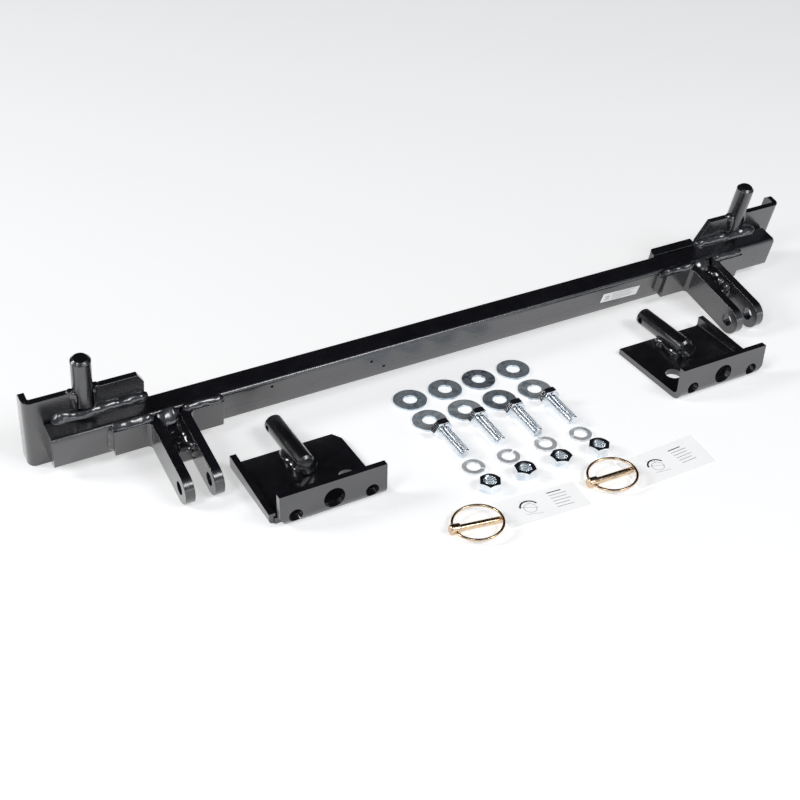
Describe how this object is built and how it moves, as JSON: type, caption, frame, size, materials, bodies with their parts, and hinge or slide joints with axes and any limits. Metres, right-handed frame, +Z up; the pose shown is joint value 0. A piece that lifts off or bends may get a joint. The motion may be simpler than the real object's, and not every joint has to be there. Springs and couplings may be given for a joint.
{
  "type": "tow bar crossbar and bracket kit",
  "caption": "Removable tow bar crossbar with two pinned clevises, two frame brackets with cross-drilled pins, bolts, nuts, washers and linch pins.",
  "frame": {"origin": "centre of the laid-out kit's bounding box in X and Y, on the surface that it lies on", "axes": "+X along the crossbar to its right end, +Y towards the crossbar from the loose pieces in front of it, +Z up"},
  "size_m": [0.887, 0.3116, 0.1216],
  "materials": {
    "black_coat": "satin black powder coat with a fine texture",
    "weld_coat": "black powder coat over rippled weld beads",
    "zinc_plate": "bright zinc plate",
    "yellow_zinc": "yellow chromate over zinc plate",
    "decal_sheet": "semi-matt printed vinyl",
    "label_white": "matt vinyl label"
  },
  "bodies": {
    "crossbar": {"crossbar_tube": "black_coat", "tube_cap_left": "black_coat", "tube_cap_right": "black_coat", "end_plate_left": "black_coat", "guide_post_left": "black_coat", "ear_outer_left": "black_coat", "ear_inner_left": "black_coat", "clevis_web_left": "black_coat", "foot_welds_left": "weld_coat", "web_welds_left": "weld_coat", "plate_weld_left": "weld_coat", "post_welds_left": "weld_coat", "end_plate_right": "black_coat", "guide_post_right": "black_coat", "ear_outer_right": "black_coat", "ear_inner_right": "black_coat", "clevis_web_right": "black_coat", "foot_welds_right": "weld_coat", "web_welds_right": "weld_coat", "plate_weld_right": "weld_coat", "post_welds_right": "weld_coat", "doubler_right": "black_coat", "bar_label": "label_white"},
    "bracket_left": {"bracket_plate_left": "black_coat", "bracket_pin_left": "black_coat", "bracket_pin_welds_left": "weld_coat"},
    "bracket_right": {"bracket_plate_right": "black_coat", "bracket_pin_right": "black_coat", "bracket_pin_welds_right": "weld_coat"},
    "fastener_set_1": {"hex_bolt_1": "zinc_plate", "hex_nut_1": "zinc_plate", "lock_washer_1": "zinc_plate", "flat_washer_1a": "zinc_plate", "flat_washer_1b": "zinc_plate"},
    "fastener_set_2": {"hex_bolt_2": "zinc_plate", "hex_nut_2": "zinc_plate", "lock_washer_2": "zinc_plate", "flat_washer_2a": "zinc_plate", "flat_washer_2b": "zinc_plate"},
    "fastener_set_3": {"hex_bolt_3": "zinc_plate", "hex_nut_3": "zinc_plate", "lock_washer_3": "zinc_plate", "flat_washer_3a": "zinc_plate", "flat_washer_3b": "zinc_plate"},
    "fastener_set_4": {"hex_bolt_4": "zinc_plate", "hex_nut_4": "zinc_plate", "lock_washer_4": "zinc_plate", "flat_washer_4a": "zinc_plate", "flat_washer_4b": "zinc_plate"},
    "linch_pin_1": {"linch_pin_1": "yellow_zinc"},
    "ring_1": {"ring_1": "yellow_zinc"},
    "decal_1": {"decal_sheet_1": "decal_sheet"},
    "linch_pin_2": {"linch_pin_2": "yellow_zinc"},
    "ring_2": {"ring_2": "yellow_zinc"},
    "decal_2": {"decal_sheet_2": "decal_sheet"}
  },
  "joints": [
    {"name": "bracket_left_lift", "type": "slide", "parent": "crossbar", "child": "bracket_left", "axis": [0, 0, 1], "range_m": [0, 0.15]},
    {"name": "bracket_right_lift", "type": "slide", "parent": "crossbar", "child": "bracket_right", "axis": [0, 0, 1], "range_m": [0, 0.15]},
    {"name": "fastener_set_1_lift", "type": "slide", "parent": "crossbar", "child": "fastener_set_1", "axis": [0, 0, 1], "range_m": [0, 0.12]},
    {"name": "fastener_set_2_lift", "type": "slide", "parent": "crossbar", "child": "fastener_set_2", "axis": [0, 0, 1], "range_m": [0, 0.12]},
    {"name": "fastener_set_3_lift", "type": "slide", "parent": "crossbar", "child": "fastener_set_3", "axis": [0, 0, 1], "range_m": [0, 0.12]},
    {"name": "fastener_set_4_lift", "type": "slide", "parent": "crossbar", "child": "fastener_set_4", "axis": [0, 0, 1], "range_m": [0, 0.12]},
    {"name": "linch_pin_1_lift", "type": "slide", "parent": "crossbar", "child": "linch_pin_1", "axis": [0, 0, 1], "range_m": [0, 0.12]},
    {"name": "ring_1_swing", "type": "hinge", "parent": "linch_pin_1", "child": "ring_1", "pos_m": [-0.13825, -0.12834, 0.00506], "axis": [-0.134, -0.991, 0], "range_deg": [0, 170]},
    {"name": "decal_1_lift", "type": "slide", "parent": "crossbar", "child": "decal_1", "axis": [0, 0, 1], "range_m": [0, 0.1]},
    {"name": "linch_pin_2_lift", "type": "slide", "parent": "decal_2", "child": "linch_pin_2", "axis": [0, 0, 1], "range_m": [0, 0.12]},
    {"name": "ring_2_swing", "type": "hinge", "parent": "linch_pin_2", "child": "ring_2", "pos_m": [0.0091, -0.13027, 0.00502], "axis": [-0.014, -0.9999, 0], "range_deg": [0, 170]},
    {"name": "decal_2_lift", "type": "slide", "parent": "crossbar", "child": "decal_2", "axis": [0, 0, 1], "range_m": [0, 0.1]}
  ]
}
